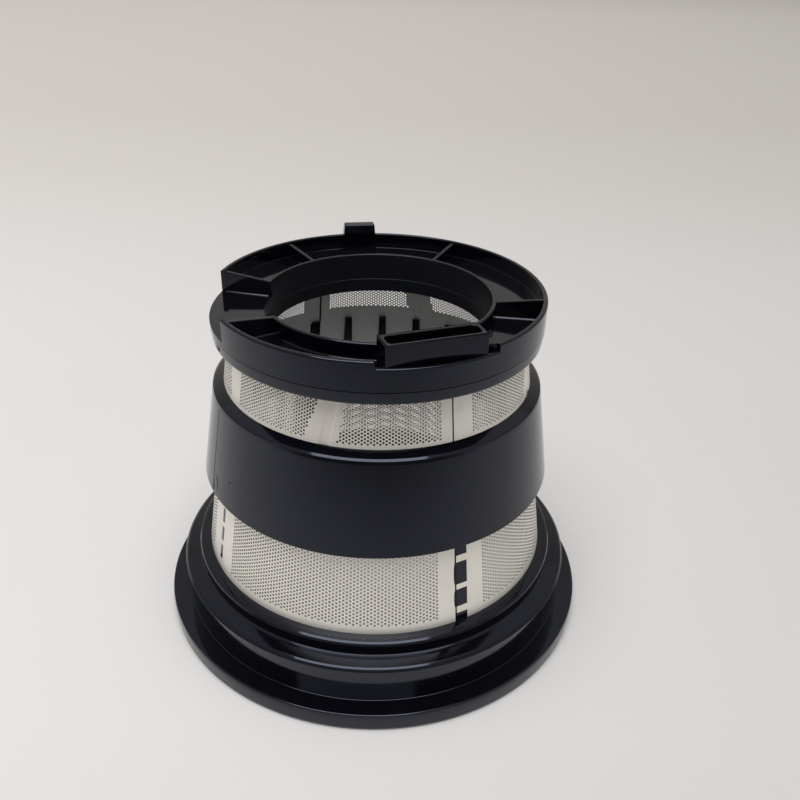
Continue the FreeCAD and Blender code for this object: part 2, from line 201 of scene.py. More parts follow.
@dataclass(frozen=True)
class RolledSteel:
    """Stainless sheet, rolled and etched, faintly clouded outside, with painted shade on its inner face that
    deepens towards the bottom of the drum.
    """

    colour: str = "f7f3ea"
    clouded: str = "eee9e0"
    # Painted shade of the drum's inner face, and the deeper painted shade low inside it.
    inside: str = "d2d3d2"
    deep_shade: str = "8c8c8b"
    deep_shade_mm: Point = (36.0, 46.0)
    metallic: float = 0.5
    roughness: float = 0.4
    cloud_mm: float = 9.0
    grain_mm: float = 0.25
    grain_depth_mm: float = 0.01

    def material(self) -> Finish:
        """Build the finish.

        Returns:
            The material.
        """
        # Etched sheet gives the eye a pale, even satin sheen without mirror images.
        material, add = new_material("stainless_rolled_etched")
        around = add("TexCoord").outputs
        place = around["Object"]
        # Painted shade: the inner face is darker, and darker still low in the drum, fading out upwards.
        spread = add("VectorMath", {0: place, 1: (1, 1, 0)}, operation="MULTIPLY")
        facing = add("VectorMath", {0: spread, 1: around["Normal"]}, operation="DOT_PRODUCT")
        inner = add("Math", {0: facing, 1: 0.0}, operation="LESS_THAN")
        height = add("SeparateXYZ", {"Vector": place}).outputs["Z"]
        low, high = self.deep_shade_mm
        clear = add("MapRange", {"Value": height, "From Min": low * MM, "From Max": high * MM})
        used = add("Mix", {
            "Factor": clear, "A": linear(self.deep_shade), "B": linear(self.inside),
        }, data_type="RGBA")
        cloud = add("TexNoise", {"Vector": place, "Scale": 1 / (self.cloud_mm * MM), "Detail": 3.0})
        grain = add("TexNoise", {"Vector": place, "Scale": 1 / (self.grain_mm * MM), "Detail": 2.0})
        tint = add("Mix", {
            "Factor": cloud, "A": linear(self.colour), "B": linear(self.clouded),
        }, data_type="RGBA")
        sided = add("Mix", {"Factor": inner, "A": tint, "B": used}, data_type="RGBA")
        rough = add("MapRange", {
            "Value": grain, "From Min": 0.3, "From Max": 0.7,
            "To Min": self.roughness * 0.85, "To Max": self.roughness * 1.2,
        })
        relief = add("Bump", {"Height": grain, "Strength": 0.15, "Distance": self.grain_depth_mm * MM})
        shader = add("BsdfPrincipled", {
            "Base Color": sided, "Metallic": self.metallic, "Roughness": rough, "Normal": relief,
        })
        add("OutputMaterial", {"Surface": shader})
        return material


@dataclass(frozen=True)
class WeldAndGapShade:
    """Stainless steel of the seam weld, dark with painted shade of the narrow gap and uneven along the run.
    """

    # Dark tones of the weld run: painted shade of the narrow seam gap.
    colour: str = "322d29"
    deeper_gap_shade: str = "1b1816"
    roughness: float = 0.5
    mottle_mm: float = 0.8
    mottle_depth_mm: float = 0.05

    def material(self) -> Finish:
        """Build the finish.

        Returns:
            The material.
        """
        # A dull, brown-grey line: the weld run with painted shade of the narrow seam gap.
        material, add = new_material("seam_weld_painted_gap_shade")
        place = add("TexCoord").outputs["Object"]
        mottle = add("TexNoise", {"Vector": place, "Scale": 1 / (self.mottle_mm * MM), "Detail": 3.0})
        tint = add("Mix", {
            "Factor": mottle, "A": linear(self.colour), "B": linear(self.deeper_gap_shade),
        }, data_type="RGBA")
        relief = add("Bump", {"Height": mottle, "Strength": 0.4, "Distance": self.mottle_depth_mm * MM})
        shader = add("BsdfPrincipled", {
            "Base Color": tint, "Metallic": 1.0, "Roughness": self.roughness, "Normal": relief,
        })
        add("OutputMaterial", {"Surface": shader})
        return material


def deselect_all() -> None:
    """Leave nothing selected."""
    if bpy.context.mode != "OBJECT":
        bpy.ops.object.mode_set(mode="OBJECT")
    bpy.ops.object.select_all(action="DESELECT")


def pick(piece: Solid) -> None:
    """Make one object the only one selected, and the active one."""
    deselect_all()
    piece.select_set(True)
    bpy.context.view_layer.objects.active = piece


def edit(piece: Solid) -> bmesh.types.BMesh:
    """Open an object in edit mode with everything selected.

    Args:
        piece: Object to edit.

    Returns:
        Its edit mesh.
    """
    pick(piece)
    bpy.ops.object.mode_set(mode="EDIT")
    bpy.ops.mesh.select_mode(type="VERT")
    bpy.ops.mesh.select_all(action="SELECT")
    return bmesh.from_edit_mesh(piece.data)


def choose_edges(piece: Solid, keep: Callable[[Vector, Vector], bool]) -> None:
    """Select the edges whose two ends pass a test.

    Args:
        piece: Object in edit mode.
        keep: Test on the places of an edge's ends.
    """
    bpy.ops.mesh.select_all(action="DESELECT")
    bpy.ops.mesh.select_mode(type="EDGE")
    mesh = bmesh.from_edit_mesh(piece.data)
    for edge in mesh.edges:
        edge.select_set(keep(edge.verts[0].co, edge.verts[1].co))
    bmesh.update_edit_mesh(piece.data)


def leave_edit() -> None:
    """Go back to object mode."""
    bpy.ops.object.mode_set(mode="OBJECT")


def bevel(
    piece: Solid, keep: Callable[[Vector, Vector], bool], width: float, segments: int, profile: float = 0.5,
) -> None:
    """Bevel the edges whose two ends pass a test.

    Args:
        piece: Object to bevel.
        keep: Test on the places of an edge's ends.
        width: Width of the bevel in millimetres.
        segments: Faces across it.
        profile: Its form; a half is round.
    """
    edit(piece)
    choose_edges(piece, keep)
    bpy.ops.mesh.bevel(offset=width * MM, segments=segments, profile=profile, affect="EDGES")
    leave_edit()


def settle(piece: Solid) -> None:
    """Move an object's place, turn and scale into its mesh."""
    pick(piece)
    bpy.ops.object.transform_apply(location=True, rotation=True, scale=True)


def clean(piece: Solid) -> None:
    """Merge doubled points and turn every face outwards."""
    edit(piece)
    bpy.ops.mesh.remove_doubles(threshold=0.001 * MM)
    bpy.ops.mesh.normals_make_consistent(inside=False)
    leave_edit()


def combine(piece: Solid, tool: Solid, how: Join = Join.UNION) -> None:
    """Combine two solids and keep the first.

    Args:
        piece: Solid that is changed.
        tool: Solid that is used up.
        how: Union or difference.
    """
    pick(piece)
    modifier = piece.modifiers.new("combine", "BOOLEAN")
    modifier.operation = how.value
    modifier.solver = "EXACT"
    modifier.object = tool
    bpy.ops.object.modifier_apply(modifier=modifier.name)
    bpy.data.objects.remove(tool)


def smooth(piece: Solid, angle: float = 32.0) -> None:
    """Shade smooth up to an angle, with the large faces flat between the roundings.

    Args:
        piece: Object to shade.
        angle: Largest angle in degrees between faces that are shaded as one.
    """
    pick(piece)
    bpy.ops.object.shade_smooth_by_angle(angle=math.radians(angle))
    modifier = piece.modifiers.new("even", "WEIGHTED_NORMAL")
    modifier.keep_sharp = True
    bpy.ops.object.modifier_apply(modifier=modifier.name)


def rounded(corners: Sequence[Spot], cuts: int = 3) -> list[Point]:
    """Round the corners of a section.

    Args:
        corners: Radius and height of each corner in millimetres, and its rounding.
        cuts: Segments of each rounding.

    Returns:
        The points of the rounded section.
    """
    points: list[Point] = []
    count = len(corners)
    for i, (x, y, radius) in enumerate(corners):
        here = Vector((x, y))
        if radius <= 0:
            points.append((x, y))
            continue
        before = Vector(corners[i - 1][:2]) - here
        after = Vector(corners[(i + 1) % count][:2]) - here
        half = before.angle(after) / 2
        reach = min(radius / math.tan(half), before.length * 0.48, after.length * 0.48)
        start = here + before.normalized() * reach
        end = here + after.normalized() * reach
        centre = here + (before.normalized() + after.normalized()).normalized() * (reach / math.cos(half))
        first = start - centre
        turn = first.angle_signed(end - centre)
        for step in range(cuts + 1):
            spoke = first.copy()
            spoke.rotate(Matrix.Rotation(-turn * step / cuts, 2))
            points.append((centre.x + spoke.x, centre.y + spoke.y))
    return points


def oblong(inner: float, outer: float, low: float, high: float) -> list[Point]:
    """Corners of an upright rectangular section, from its lower inner one."""
    return [(inner, low), (outer, low), (outer, high), (inner, high)]


def turned(
    name: str, section: Sequence[Point], start: float = 0.0, span: float = 360.0, steps: int = 240,
) -> Solid:
    """Draw a section by extruding one corner round it, and spin it about the drum's axis.

    Args:
        name: Name of the solid.
        section: Radius and height of each point in millimetres.
        start: Azimuth of the section in degrees.
        span: Angle it is turned through.
        steps: Steps of the spin.

    Returns:
        The solid.
    """
    way = Vector((math.cos(math.radians(start)), math.sin(math.radians(start)), 0))
    spots = [(way * r + Vector((0, 0, z))) * MM for r, z in section]
    deselect_all()
    bpy.ops.mesh.primitive_plane_add(size=MM, location=spots[0])
    piece = bpy.context.object
    piece.name = name
    settle(piece)
    edit(piece)
    bpy.ops.mesh.merge(type="CENTER")
    for here, there in zip(spots, spots[1:]):
        bpy.ops.mesh.extrude_region_move(TRANSFORM_OT_translate={"value": there - here})
    mesh = bmesh.from_edit_mesh(piece.data)
    bpy.ops.mesh.select_all(action="DESELECT")
    bpy.ops.mesh.select_mode(type="VERT")
    for end in [v for v in mesh.verts if len(v.link_edges) == 1]:
        end.select_set(True)
    bmesh.update_edit_mesh(piece.data)
    bpy.ops.mesh.edge_face_add()
    bpy.ops.mesh.select_all(action="SELECT")
    bpy.ops.mesh.spin(steps=steps, angle=-math.radians(span), center=(0, 0, 0), axis=(0, 0, 1))
    bpy.ops.mesh.select_all(action="SELECT")
    bpy.ops.mesh.remove_doubles(threshold=0.001 * MM)
    if span < 360:
        bpy.ops.mesh.select_all(action="SELECT")
        bpy.ops.mesh.fill_holes(sides=0)
    leave_edit()
    clean(piece)
    return piece


def bar(name: str, low: Sequence[float], high: Sequence[float]) -> Solid:
    """Add a block between two corners.

    Args:
        name: Name of the block.
        low: Lowest corner in millimetres.
        high: Highest corner in millimetres.

    Returns:
        The block.
    """
    first, last = Vector(low), Vector(high)
    deselect_all()
    bpy.ops.mesh.primitive_cube_add(size=1.0, location=(first + last) * 0.5 * MM)
    piece = bpy.context.object
    piece.name = name
    piece.scale = (last - first) * MM
    settle(piece)
    return piece


def swing(piece: Solid, azimuth: float) -> None:
    """Turn an object about the drum's axis."""
    piece.matrix_world = Matrix.Rotation(math.radians(azimuth), 4, "Z")
    settle(piece)


def ring_mark(
    name: str, azimuth: float, height: float, radius: float, lean: float, size: Point, proud: float,
) -> Solid:
    """Make a small raised ring, half sunk in a round face.

    Args:
        name: Name of the ring.
        azimuth: Where it lies round the drum.
        height: Height of its middle.
        radius: Radius of the face at that height.
        lean: How far the face draws in for each millimetre of height.
        size: Its width and height along the face.
        proud: How far it stands out of the face.

    Returns:
        The ring.
    """
    tube = 0.16
    deselect_all()
    bpy.ops.mesh.primitive_torus_add(major_radius=1.0, minor_radius=tube, major_segments=28, minor_segments=8)
    piece = bpy.context.object
    piece.name = name
    turn = math.radians(azimuth)
    out = Vector((math.cos(turn), math.sin(turn), lean)).normalized()
    across = Vector((-math.sin(turn), math.cos(turn), 0))
    along = out.cross(across)
    axes = Matrix((across * size[0] / 2 * MM, along * size[1] / 2 * MM, out * proud / tube * MM)).transposed()
    place = Vector((radius * math.cos(turn), radius * math.sin(turn), height)) * MM
    piece.matrix_world = Matrix.Translation(place) @ axes.to_4x4()
    settle(piece)
    return piece


def merged(pieces: Sequence[Solid], name: str) -> Solid:
    """Join solids that don't meet into one object.

    Args:
        pieces: Objects to join.
        name: Name of the result.

    Returns:
        The joined object.
    """
    pick(pieces[0])
    for piece in pieces[1:]:
        piece.select_set(True)
    bpy.ops.object.join()
    pieces[0].name = name
    return pieces[0]


def hand_in(piece: Solid, material: Finish, slot: Slot, *nodes: Node) -> None:
    """Dress a finished piece, let it ride on the body and stand for its nodes.

    Args:
        piece: Finished object.
        material: Its finish.
        slot: Record slot the finish belongs to; not used.
        *nodes: Nodes that it stands for.
    """
    piece.data.materials.clear()
    piece.data.materials.append(material)
    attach(piece, BODY)
    if nodes:
        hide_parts(*[node.value for node in nodes])
    LOG.info("%s: %d faces", piece.name, len(piece.data.polygons))


@dataclass(frozen=True)
class Cone:
    """The rolled steel's outer face."""

    foot_h: float = 20.0
    foot_r: float = 44.53
    slope: float = 0.1422
    sheet: float = 0.4

    def radius(self, height: float) -> float:
        """Outer radius at a height."""
        return self.foot_r - self.slope * (height - self.foot_h)


@dataclass
class DrumFrame:
    """Mouth ring, tie bars, middle band and grip ribs in one moulding."""

    cone: Cone
    flange_r: float = 55.98
    flange_h: float = 4.8
    flange_draft: float = 0.08
    flange_edge: tuple[Point, ...] = ((55.98, 3.6), (55.94, 4.3), (55.84, 4.62), (55.62, 4.8))
    collar_foot_r: float = 51.2
    collar_edge: tuple[Point, ...] = ((51.8, 14.25), (51.35, 14.8), (50.95, 15.06))
    shelf_bend: Point = (48.2, 15.54)
    shelf_in_h: float = 15.7
    roof_h: float = 13.3
    lip_r: float = 47.6
    lip_edge: tuple[Point, ...] = ((47.6, 18.3), (47.38, 18.75), (46.9, 19.05))
    lip_h: float = 19.25
    wall: float = 2.2
    lip_inner_r: float = 42.53
    seat: float = 0.06
    band_low: float = 41.26
    band_low_r: float = 44.31
    band_top: float = 63.75
    band_top_r: float = 40.9
    band_edge: tuple[Point, ...] = ((40.72, 64.55), (40.22, 64.92))
    band_foot: float = 65.88
    witness_angle: float = -152.6
    witness_span: float = 0.22
    witness_end: float = 0.3
    witness_proud: float = 0.05
    witness_sunk: float = 0.4
    gate_mark: Point = (-150.5, 44.6)
    gate_size: Point = (2.6, 3.8)
    gate_proud: float = 0.08
    pit_mark: Spot = (-140.6, 48.7, 0.55)
    rib_count: int = 24
    rib_low: float = 42.6
    rib_top: float = 63.3
    rib_low_w: float = 3.0
    rib_top_w: float = 1.9
    rib_proud: float = 0.9
    rib_root: float = 1.1
    tie_count: int = 4
    tie_w: float = 2.9
    tie_low: float = 17.4
    tie_top: float = 43.4
    tie_proud: float = 1.0
    tie_inset: float = 0.05
    first_tie: float = 30.0
    bar_edge: float = 0.25

    def mouth(self) -> Solid:
        """Spin the mouth ring: flange, collar, shelf and lip over a stepped socket."""
        socket_r = self.collar_foot_r - self.wall
        return turned("mouth_ring", rounded([
            (socket_r, 0.0, 0.4),
            (self.flange_r - self.flange_draft, 0.0, 0.9),
            *[(*corner, 0.2) for corner in self.flange_edge],
            (self.collar_foot_r, self.flange_h, 0.22),
            *[(*corner, 0.15) for corner in self.collar_edge],
            (*self.shelf_bend, 0.2),
            (self.lip_r, self.shelf_in_h, 0.2),
            *[(*corner, 0.15) for corner in self.lip_edge],
            (self.cone.radius(self.lip_h) - self.seat, self.lip_h, 0.0),
            (self.lip_inner_r, self.lip_h - 0.6, 0.3),
            (self.lip_inner_r, self.roof_h, 0.4),
            (socket_r, self.roof_h, 0.6),
        ]))

    def band(self) -> Solid:
        """Spin the middle band, with the chamfer, the bright crest and the gentle slope of its top."""
        return turned("middle_band", rounded([
            (self.cone.radius(self.band_low) - self.seat, self.band_low, 0.0),
            (self.band_low_r, self.band_low, 0.3),
            (self.band_top_r, self.band_top, 0.3),
            *[(*corner, 0.12) for corner in self.band_edge],
            (self.cone.radius(self.band_foot) - self.seat, self.band_foot, 0.0),
        ]))

    def witness_line(self) -> Solid:
        """Spin a sliver of the band's face: the fine line that the mould's parting leaves on it."""
        low, top = self.band_low + self.witness_end, self.band_top - self.witness_end
        foot, head = self.face_radius(low), self.face_radius(top)
        section = [(foot - self.witness_sunk, low), (foot + self.witness_proud, low),
                   (head + self.witness_proud, top), (head - self.witness_sunk, top)]
        return turned("witness_line", section, self.witness_angle, self.witness_span, 1)

    def face_radius(self, height: float) -> float:
        """Radius of the band's outer face at a height."""
        share = (height - self.band_low) / (self.band_top - self.band_low)
        return self.band_low_r + (self.band_top_r - self.band_low_r) * share

    def pit(self) -> Solid:
        """Make the ball that leaves a small pit in the band's face."""
        azimuth, height, size = self.pit_mark
        deselect_all()
        place = Vector((self.face_radius(height), 0, height)) * MM
        bpy.ops.mesh.primitive_uv_sphere_add(segments=16, ring_count=10, radius=size / 2 * MM, location=place)
        piece = bpy.context.object
        settle(piece)
        swing(piece, azimuth)
        return piece

    def leaning_bar(self, name: str, ends: Point, widths: Point, reach: Point) -> Solid:
        """Make a bar that leans with the steel.

        Args:
            name: Name of the bar.
            ends: Heights of its lower and upper end.
            widths: Widths of its lower and upper end.
            reach: How far it runs inside and outside of the steel's outer face.

        Returns:
            The bar, at azimuth 0.
        """
        low, high = ends
        piece = bar(name, (0, -0.5, low), (1, 0.5, high))
        middle = (low + high) / 2 * MM
        mesh = edit(piece)
        for point in mesh.verts:
            end = int(point.co.z > middle)
            depth = reach[1] if point.co.x > 0.5 * MM else -reach[0]
            point.co.x = (self.cone.radius(ends[end]) + depth) * MM
            point.co.y = math.copysign(widths[end] / 2, point.co.y) * MM
        bmesh.update_edit_mesh(piece.data)
        leave_edit()
        inner = (self.cone.radius(high) - reach[0] + 0.5 * (reach[0] + reach[1])) * MM
        lean, top = self.cone.slope, high * MM
        bevel(piece, lambda *pair: max(p.x + lean * (p.z - top) for p in pair) < inner, self.bar_edge, 2)
        clean(piece)
        return piece

    def repeat(self, model: Solid, count: int, first: float) -> Solid:
        """Copy a bar round the drum.

        Args:
            model: Bar at azimuth 0, which is used up.
            count: Number of bars.
            first: Azimuth of the first one.

        Returns:
            All bars as one object.
        """
        copies = []
        for i in range(count):
            copy = model.copy()
            copy.data = model.data.copy()
            bpy.context.collection.objects.link(copy)
            swing(copy, first + 360 / count * i)
            copies.append(copy)
        bpy.data.objects.remove(model)
        return merged(copies, "bars")

    def build(self, finish: Finish) -> Solid:
        """Make the moulding.

        Args:
            finish: Its plastic.

        Returns:
            The finished piece.
        """
        sheet = self.cone.sheet
        piece = self.mouth()
        tie = self.leaning_bar(
            "tie_bar", (self.tie_low, self.tie_top), (self.tie_w, self.tie_w),
            (sheet + self.tie_proud, -self.tie_inset))
        combine(piece, self.repeat(tie, self.tie_count, self.first_tie))
        combine(piece, self.band())
        rib = self.leaning_bar(
            "grip_rib", (self.rib_low, self.rib_top), (self.rib_low_w, self.rib_top_w),
            (sheet + self.rib_proud, self.rib_root))
        combine(piece, self.repeat(rib, self.rib_count, 0.0))
        combine(piece, self.witness_line())
        azimuth, height = self.gate_mark
        radius = self.face_radius(height)
        lean = (self.band_low_r - self.band_top_r) / (self.band_top - self.band_low)
        combine(piece, ring_mark("gate_mark", azimuth, height, radius, lean, self.gate_size, self.gate_proud))
        combine(piece, self.pit(), Join.DIFFERENCE)
        piece.name = "frame_moulding"
        clean(piece)
        smooth(piece)
        hand_in(piece, finish, Slot.PLASTIC, Node.DRUM_FRAME)
        return piece


@dataclass
class KeyRing:
    """Ring at the narrow end: floor, hub, outer wall, webs, notch, tab, chute and post."""

    cone: Cone
    bore_r: float = 27.2
    bore_low_r: float = 26.75
    ledge_r: float = 26.5
    ledge_h: float = 79.4
    low: float = 75.9
    hub_r: float = 28.2
    hub_skirt_r: float = 28.6
    hub_top: float = 86.1
    floor: float = 82.2
    rear_floor: float = 83.8
    under: float = 79.7
    socket_r: float = 34.77
    socket_low: float = 77.0
    outer_r: float = 40.2
    foot_r: float = 39.8
    foot_h: float = 77.8
    parting_h: float = 80.7
    wall_r: float = 39.0
    wall_top: float = 87.8
    web: float = 1.1
    web_in: float = 86.0
    web_out: float = 87.4
    web_edge: float = 0.22
    web_root: float = 0.4
    webs: tuple[float, ...] = (-6.0, 61.0, 130.0, 167.77, 213.93)
    flare: float = 0.28
    gate_mark: Point = (-152.0, 79.9)
    gate_size: Point = (1.8, 2.4)
    gate_rise: float = 0.15
    gate_proud: float = 0.07
    core_mark: Point = (148.6, 85.0)
    core_size: Point = (3.6, 3.2)
    core_proud: float = 0.12
    notch: Point = (168.7, 44.3)
    low_wall: Spot = (271.4, 39.8, 86.2)
    wall_end_slant: float = 1.3
    rear: Point = (-6.0, 174.0)
    tab_angle: float = 100.2
    tab_low_w: float = 9.8
    tab_top_w: float = 8.2
    tab_top: float = 90.99
    tab_reach: Point = (37.15, 39.95)
    tab_edge: float = 0.35
    chute_angle: float = 290.5
    chute_w: float = 22.7
    chute_reach: Point = (32.2, 38.05)
    chute_top: float = 90.99
    chute_wall: float = 1.0
    chute_corner: float = 1.2
    chute_edge: float = 0.28
    chute_rim: float = 0.25
    chute_floor: float = 83.0
    chute_foot: Spot = (273.0, 38.0, 85.2)
    post_x: Point = (23.9, 26.3)
    post_y: Point = (-29.4, -26.1)
    post_top: float = 87.5
    post_back: float = 1.15
    post_edge: float = 0.2

    def ring(self) -> Solid:
        """Spin the ring with its hub, outer wall and the socket for the steel."""
        return turned("ring", rounded([
            (self.ledge_r, self.low, 0.2),
            (self.hub_skirt_r, self.low, 0.2),
            (self.hub_skirt_r, self.under, 0.3),
            (self.socket_r, self.under, 0.3),
            (self.socket_r, self.socket_low, 0.15),
            (self.cone.radius(self.socket_low) + 0.6, self.socket_low, 0.15),
            (self.foot_r, self.foot_h, 0.7),
            (self.outer_r - 0.2, self.parting_h - 0.14, 0.0),
            (self.outer_r - 0.42, self.parting_h, 0.0),
            (self.outer_r - 0.04, self.parting_h + 0.14, 0.0),
            (self.outer_r, self.wall_top, 0.5),
            (self.wall_r, self.wall_top, 0.3),
            (self.wall_r, self.floor, 0.35),
            (self.hub_r, self.floor, 0.35),
            (self.hub_r, self.hub_top, 0.4),
            (self.bore_r, self.hub_top, 0.3),
            (self.bore_low_r, self.ledge_h, 0.0),
            (self.ledge_r + 0.04, self.ledge_h - 0.06, 0.05),
        ]))

    def raised_section(self) -> list[Point]:
        """Section of the raised floor at the rear, rounded into the hub and the wall."""
        low, level, high = self.floor - SUNK, self.rear_floor, self.rear_floor + SUNK
        return rounded([
            (self.hub_r - SUNK, low, 0), (self.wall_r + SUNK, low, 0),
            (self.wall_r + SUNK, high, 0), (self.wall_r, high, 0),
            (self.wall_r, level, 0.3), (self.hub_r, level, 0.3),
            (self.hub_r, high, 0), (self.hub_r - SUNK, high, 0),
        ])

    def radial_web(self, azimuth: float) -> Solid:
        """Make one radial web, its top rising to the outer wall.

        Args:
            azimuth: Where it stands.

        Returns:
            The web.
        """
        half = self.web / 2
        root = self.wall_r + self.web_root
        piece = bar("web", (self.bore_r + SUNK, -half, self.floor - SUNK), (root, half, self.web_out))
        middle = (self.hub_r + self.wall_r) / 2 * MM
        mesh = edit(piece)
        for point in mesh.verts:
            if point.co.z > self.floor * MM and point.co.x < middle:
                point.co.z = self.web_in * MM
        bmesh.update_edit_mesh(piece.data)
        leave_edit()
        bevel(piece, lambda a, b: min(a.z, b.z) > (self.floor + 1) * MM, self.web_edge, 2)
        swing(piece, azimuth)
        clean(piece)
        return piece

    def feet(self) -> list[tuple[float, float, bool, bool]]:
        """List the flared feet: azimuth, floor's height, and whether each side flares."""
        right, second, third, rear, front = self.webs
        return [
            (right, self.floor, True, False), (right, self.rear_floor, False, True),
            (second, self.rear_floor, True, True), (third, self.rear_floor, True, True),
            (rear, self.rear_floor, True, False), (rear, self.floor, False, True),
            (front, self.floor, True, True),
        ]

    def web_foot(self, azimuth: float, level: float, before: bool, after: bool) -> Solid:
        """Make the flared foot of a web, which catches the light as a thin line.

        Args:
            azimuth: Where the web stands.
            level: Height of the floor beside it.
            before: Whether it flares on the side of smaller azimuths.
            after: Whether it flares on the other side.

        Returns:
            The foot.
        """
        low, high = [self.web / 2 + (self.flare if side else -SUNK) for side in (before, after)]
        piece = bar(
            "web_foot", (self.hub_r - 0.2, -low, level - 0.2), (self.wall_r + 0.2, high, level + self.flare))
        long, hollow = 5 * MM, 0.2
        width = self.flare - 0.02
        bevel(piece, lambda a, b: min(a.z, b.z) > level * MM and abs(a.x - b.x) > long, width, 3, hollow)
        swing(piece, azimuth)
        clean(piece)
        return piece

    def tab(self) -> Solid:
        """Make the upright tab on the rear wall."""
        half = self.tab_low_w / 2
        inner, outer = self.tab_reach
        piece = bar("tab", (inner, -half, self.floor), (outer, half, self.tab_top))
        root = self.wall_top * MM
        mesh = edit(piece)
        for point in mesh.verts:
            if point.co.z > root:
                point.co.y = math.copysign(self.tab_top_w / 2, point.co.y) * MM
        bmesh.update_edit_mesh(piece.data)
        leave_edit()
        bevel(piece, lambda a, b: max(a.z, b.z) > root, self.tab_edge, 3)
        swing(piece, self.tab_angle)
        clean(piece)
        return piece

    def chute(self) -> Solid:
        """Make the open-topped chute beside the hub."""
        half = self.chute_w / 2
        inner, outer = self.chute_reach
        piece = bar("chute", (inner, -half, self.floor - SUNK), (outer, half, self.chute_top))
        mesh = edit(piece)
        bpy.ops.mesh.select_all(action="DESELECT")
        bpy.ops.mesh.select_mode(type="FACE")
        for face in mesh.faces:
            face.select_set(face.normal.z > 0.9)
        bmesh.update_edit_mesh(piece.data)
        bpy.ops.mesh.inset(thickness=self.chute_wall * MM)
        deep = (self.chute_floor - self.chute_top) * MM
        bpy.ops.mesh.extrude_region_move(TRANSFORM_OT_translate={"value": (0, 0, deep)})
        leave_edit()
        bottom, tall = (self.floor - 0.2) * MM, 4 * MM
        bevel(piece, lambda a, b: abs(a.z - b.z) > tall and min(a.z, b.z) > bottom, self.chute_corner, 4)
        bevel(piece, lambda a, b: abs(a.z - b.z) > tall and min(a.z, b.z) < bottom, self.chute_edge, 3)
        mesh = edit(piece)
        mesh.normal_update()
        bpy.ops.mesh.select_all(action="DESELECT")
        bpy.ops.mesh.select_mode(type="EDGE")
        top = (self.chute_top - 0.01) * MM
        for line in mesh.edges:
            rises = sorted(face.normal.z for face in line.link_faces)
            line.select_set(min(end.co.z for end in line.verts) > top and rises[0] < 0.5 < rises[-1])
        bmesh.update_edit_mesh(piece.data)
        bpy.ops.mesh.bevel(offset=self.chute_rim * MM, segments=3, affect="EDGES")
        leave_edit()
        swing(piece, self.chute_angle)
        clean(piece)
        return piece

    def foot_ledge(self) -> Solid:
        """Make the ledge between the chute's front and the lowered wall."""
        start, span, level = self.chute_foot
        front = self.chute_reach[1]
        section = oblong(front - 1.5, self.wall_r + SUNK, self.floor - 0.2, level)
        piece = turned("foot_ledge", section, start, span, 40)
        reach = front - self.chute_wall / 2
        inside = bar("inside", (self.bore_r, -self.chute_w, self.low), (reach, self.chute_w, self.chute_top))
        swing(inside, self.chute_angle)
        combine(piece, inside, Join.DIFFERENCE)
        clean(piece)
        return piece

    def post(self) -> Solid:
        """Make the post beside the chute: a flat face in front and a round back."""
        (left, right), (front, back) = self.post_x, self.post_y
        piece = bar("post", (left, front, self.floor - SUNK), (right, back, self.post_top))
        middle = (front + back) / 2 * MM
        top = (self.post_top - 0.01) * MM
        bevel(piece, lambda a, b: abs(a.z - b.z) > MM and min(a.y, b.y) > middle, self.post_back, 5)
        bevel(piece, lambda a, b: min(a.z, b.z) > top, self.post_edge, 2)
        clean(piece)
        return piece

    def lowered_wall(self) -> tuple[Solid, Solid]:
        """Make the cut that lowers the wall in front of the chute, and the wall's new round top.

        Returns:
            The cut, with a slanting end on the left, and the top.
        """
        start, span, level = self.low_wall
        section = oblong(self.wall_r - 0.6, self.outer_r + PAST, level - 0.4, self.wall_top + PAST)
        cut = turned("lowered_wall", section, start, span, 40)
        lean = Matrix.Rotation(-math.radians(self.wall_end_slant), 3, "Z")
        mesh = edit(cut)
        for point in mesh.verts:
            angle = math.degrees(math.atan2(point.co.y, point.co.x)) % 360
            if abs(angle - start) < 0.01 and point.co.z > self.wall_top * MM:
                point.co = lean @ point.co
        bmesh.update_edit_mesh(cut.data)
        leave_edit()
        clean(cut)
        top = turned("lowered_top", rounded([
            (self.wall_r, level - 1.0, 0.0), (self.outer_r - 0.03, level - 1.0, 0.0),
            (self.outer_r - 0.03, level, 0.4), (self.wall_r, level, 0.35),
        ]), start - 0.2, span + 0.4, 40)
        return cut, top

    def build(self, finish: Finish) -> Solid:
        """Make the ring.

        Args:
            finish: Its plastic.

        Returns:
            The finished piece.
        """
        piece = self.ring()
        cut = oblong(self.ledge_r - PAST, self.outer_r + PAST, self.floor, self.wall_top + PAST)
        combine(piece, turned("notch", cut, *self.notch, 40), Join.DIFFERENCE)
        lowered, coping = self.lowered_wall()
        combine(piece, lowered, Join.DIFFERENCE)
        combine(piece, coping)
        combine(piece, turned("raised_floor", self.raised_section(), *self.rear, 120))
        for azimuth in self.webs:
            combine(piece, self.radial_web(azimuth))
        for foot in self.feet():
            combine(piece, self.web_foot(*foot))
        gate_r = self.foot_r + self.gate_rise
        gate = ring_mark("gate_mark", *self.gate_mark, gate_r, 0.0, self.gate_size, self.gate_proud)
        core = ring_mark("core_mark", *self.core_mark, self.wall_r, 0.0, self.core_size, self.core_proud)
        for part in (self.tab(), self.foot_ledge(), self.chute(), self.post(), gate, core):
            combine(piece, part)
        piece.name = "key_ring_moulding"
        clean(piece)
        smooth(piece)
        hand_in(piece, finish, Slot.PLASTIC, Node.KEY_RING)
        return piece


